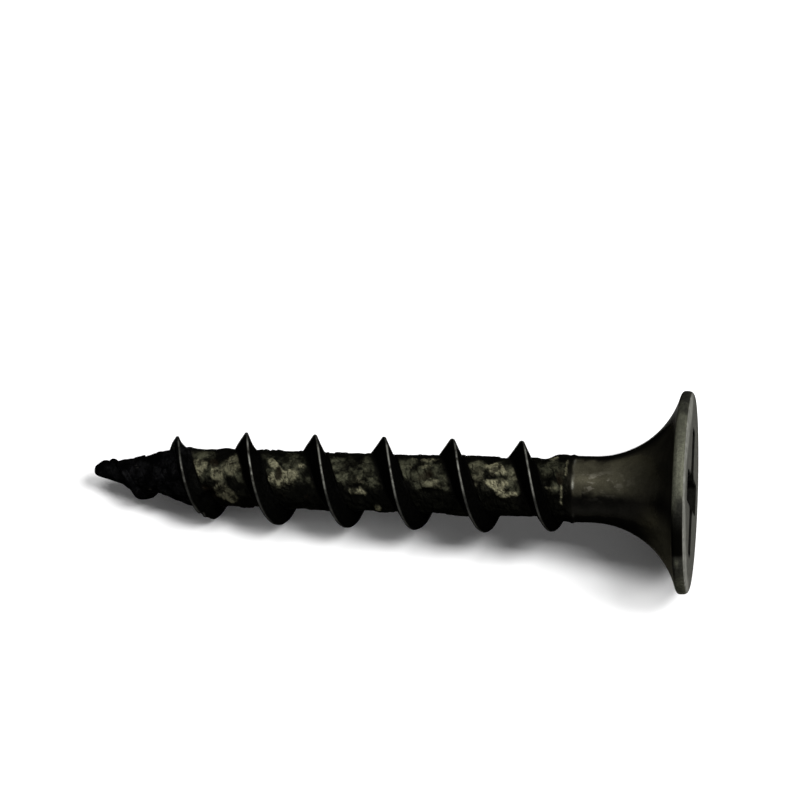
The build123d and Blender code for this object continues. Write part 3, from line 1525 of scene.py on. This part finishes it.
        colour = s.mix(s.weight(Zone.ROOT), self.satin(s, g), self.scale(s, g))
        flank = self.flank.mixed(s, g.mottle)
        colour = s.mix(s.weight(Zone.FLANK), colour, flank)
        point = self.point.mixed(s, flecks)
        colour = s.mix(s.weight(Zone.POINT), colour, point)
        colour = self.wear_and_highlight(s, g, colour)
        colour = s.mix(s.weight(Zone.RIM), colour, rim)
        # Painted shade in the recess.
        recess = self.recess.mixed(s, g.mottle)
        colour = s.mix(s.weight(Zone.RECESS), colour, recess)
        # Pits, the painted shade round flakes, and the darker collar and rim band.
        colour = s.mix(s.weight(Zone.PIT_AND_SHADE), colour, self.pit_and_shade)
        return s.mix(scuffed, colour, self.scuff)

    def shine(self, s: Shader, g: Grain) -> tuple[Socket, Socket]:
        """The roughness, and how much the coating shines as metal.

        Args:
            s: the material in the making.
            g: its shared textures.

        Returns:
            Both, as sockets.
        """
        rough = s.blend(g.lighter, self.smooth.roughness, self.lighter.roughness)
        metal = s.blend(g.lighter, self.smooth.metal, self.lighter.metal)
        for zone, coat in (
            (Zone.ROOT, self.root), (Zone.FLANK, self.flank), (Zone.CREST, self.crest),
            (Zone.RIM, self.rim), (Zone.FACE, self.face), (Zone.RECESS, self.recess),
        ):
            rough = s.blend(s.weight(zone), rough, coat.roughness)
            metal = s.blend(s.weight(zone), metal, coat.metal)
        uneven = s.times(s.math("SUBTRACT", g.fine, 0.5), self.grain_roughness)
        return s.plus(rough, uneven), metal

    def relief(self, s: Shader, g: Grain) -> Socket:
        """The fine relief: grain all over, lumps on the core and the point, and cracks.

        Args:
            s: the material in the making.
            g: its shared textures.

        Returns:
            The bent normal.
        """
        root = s.weight(Zone.ROOT)
        fine = s.plus(g.fine, s.times(g.speck, 0.35))
        fine = s.times(fine, s.blend(root, self.smooth_relief, 1.0))
        point_crust = s.times(s.weight(Zone.POINT), self.point_lumps)
        crust = s.times(g.lump, s.plus(s.times(root, self.root_lumps), point_crust))
        split = s.times(s.times(g.crack, root), self.crack_relief)
        deep = s.plus(s.plus(fine, crust), split)
        bump = {"Strength": self.bump_strength, "Distance": self.bump_height, "Height": deep}
        return s.add("Bump", bump).outputs["Normal"]

    def dress(self) -> bpy.types.Material:
        """Makes the material. It shines as metal alone, with no glossy film.

        Returns:
            The material of the whole screw.
        """
        s = Shader(SLOT)
        g = self.grain(s)
        roughness, metal = self.shine(s, g)
        surface = s.add("BsdfPrincipled", {
            "Base Color": self.colour(s, g), "Roughness": roughness, "Metallic": metal,
            "Specular IOR Level": 0.0, "Specular Tint": (*self.edge, 1.0),
            "Normal": self.relief(s, g),
        })
        return s.finish(surface.outputs["BSDF"])


@dataclass(frozen=True)
class Table:
    """The pale table: white to the eye, with the screw's own shadow, and duller as a reflector."""

    half_width: float = 3.0
    seen: Colour = (1.0, 1.0, 1.0)
    thrown: Colour = (0.3, 0.3, 0.3)

    def build(self) -> bpy.types.Object:
        """Makes the table's top.

        Returns:
            The floor's object.
        """
        w = self.half_width
        mesh = bpy.data.meshes.new("table_top")
        mesh.from_pydata([(-w, -w, 0), (w, -w, 0), (w, w, 0), (-w, w, 0)], [], [(0, 1, 2, 3)])
        mesh.materials.append(self.dress())
        top = bpy.data.objects.new("table_top", mesh)
        bpy.context.scene.collection.objects.link(top)
        return top

    def dress(self) -> bpy.types.Material:
        """Makes the table's material.

        Returns:
            The material.
        """
        s = Shader("table_white")
        ray = s.add("LightPath").outputs
        seen = s.math("ADD", ray["Is Camera Ray"], ray["Is Glossy Ray"])
        through = {0: seen, 1: ray["Is Transmission Ray"]}
        seen = s.add("Math", through, operation="ADD", use_clamp=True)
        dull = s.add("BsdfDiffuse", {"Color": (*self.thrown, 1.0)}).outputs[0]
        white = s.add("BsdfDiffuse", {"Color": (*self.seen, 1.0)}).outputs[0]
        return s.finish(s.add("MixShader", {0: seen.outputs[0], 1: dull, 2: white}).outputs[0])


@dataclass(frozen=True)
class Lamp:
    """A soft oblong lamp that faces the screw."""

    name: str
    place: tuple[float, float, float]
    length: float
    width: float
    power: float

    def build(self) -> bpy.types.Object:
        """Makes the lamp, its length along the table's long way.

        Returns:
            The lamp's object.
        """
        light = bpy.data.lights.new(self.name, "AREA")
        light.shape = "RECTANGLE"
        light.size = self.length
        light.size_y = self.width
        light.energy = self.power
        lamp = bpy.data.objects.new(self.name, light)
        away = Vector(self.place).normalized()
        across = away.cross(Vector((1, 0, 0))).normalized()
        turned = Matrix((across.cross(away), across, away)).transposed().to_4x4()
        lamp.matrix_world = Matrix.Translation(self.place) @ turned
        bpy.context.scene.collection.objects.link(lamp)
        return lamp


@dataclass(frozen=True)
class Studio:
    """A main lamp on the head's side, a long one over the middle and a low one beyond the head."""

    lamps: tuple[Lamp, ...] = (
        Lamp("main_lamp", (0.132, -0.012, 0.28), 0.11, 0.09, 0.66),
        Lamp("long_lamp", (-0.045, 0.03, 0.28), 0.17, 0.07, 0.36),
        Lamp("side_lamp", (0.36, 0.0, 0.17), 0.15, 0.25, 1.2),
    )
    room: float = 0.16

    def build(self) -> None:
        """Makes the lamps and the world, and sets plain colours."""
        for lamp in self.lamps:
            lamp.build()
        world = bpy.data.worlds.new("room")
        world.use_nodes = True
        world.node_tree.nodes["Background"].inputs["Color"].default_value = (1, 1, 1, 1)
        world.node_tree.nodes["Background"].inputs["Strength"].default_value = self.room
        bpy.context.scene.world = world
        bpy.context.scene.view_settings.view_transform = "Standard"


@dataclass(frozen=True)
class PhotoCamera:
    """The camera that stands as the photographer's did.

    The picture is 800 pixels square, and the middle of the screw's face is at face_pixel in it.
    """

    elevation: float = 62.0
    heading: float = -6.853
    roll: float = -1.272
    distance: float = 0.13
    focal_pixels: float = 3246.1
    picture_pixels: float = 800.0
    face_pixel: Pair = (691.5, 492.7)
    sensor: float = 36.0

    def build(self, face: np.ndarray) -> bpy.types.Object:
        """Makes the camera and looks through it.

        Args:
            face: the middle of the screw's face, in the frame.

        Returns:
            The camera's object.
        """
        rise, turn, roll = (np.radians(a) for a in (self.elevation, self.heading, self.roll))
        forward = Vector((np.sin(turn) * np.cos(rise), np.cos(turn) * np.cos(rise), -np.sin(rise)))
        level = forward.cross(Vector((0, 0, 1))).normalized()
        over = level.cross(forward)
        right = level * float(np.cos(roll)) + over * float(np.sin(roll))
        up = right.cross(forward)
        across, below = (
            (pixel - self.picture_pixels / 2) / self.focal_pixels * self.distance
            for pixel in self.face_pixel
        )
        place = Vector(face) - right * across + up * below - forward * self.distance
        data = bpy.data.cameras.new("photo_camera")
        data.lens = self.focal_pixels / self.picture_pixels * self.sensor
        data.sensor_width = self.sensor
        data.clip_start = 0.001
        data.clip_end = 20.0
        camera = bpy.data.objects.new("photo_camera", data)
        turned = Matrix((right, up, -forward)).transposed().to_4x4()
        camera.matrix_world = Matrix.Translation(place) @ turned
        bpy.context.scene.collection.objects.link(camera)
        bpy.context.scene.camera = camera
        return camera


@dataclass(frozen=True)
class Screw:
    """The whole screw: its shank and its head in one skin, dressed in phosphate."""

    sizes: ScrewSizes
    lie: Lie
    coat: Phosphate

    def build(self) -> bpy.types.Object:
        """Makes the piece that stands for the solid.

        Returns:
            The screw's object.
        """
        skin = Skin()
        neck = Shank(self.sizes).build(skin)
        Head(self.sizes, Recess(self.sizes)).build(skin, neck)
        piece = skin.make_object("screw_skin", self.lie, self.sizes.length)
        piece.data.materials.append(self.coat.dress())
        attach(piece, BODY)
        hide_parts(NODE)
        return piece


def main() -> None:
    """Builds the screw, the table, the light and the camera."""
    logging.basicConfig(level=logging.INFO, format="%(message)s")
    lie = Lie.from_record(frame["record"])
    screw = Screw(ScrewSizes(), lie, Phosphate()).build()
    mesh = screw.data
    log.info("%s: %d points, %d faces", screw.name, len(mesh.vertices), len(mesh.polygons))
    table = Table().build()
    log.info("%s: stage", table.name)
    Studio().build()
    camera = PhotoCamera().build(lie.face)
    log.info("%s: %.1f mm lens", camera.name, camera.data.lens)


if __name__ == "__main__":
    main()
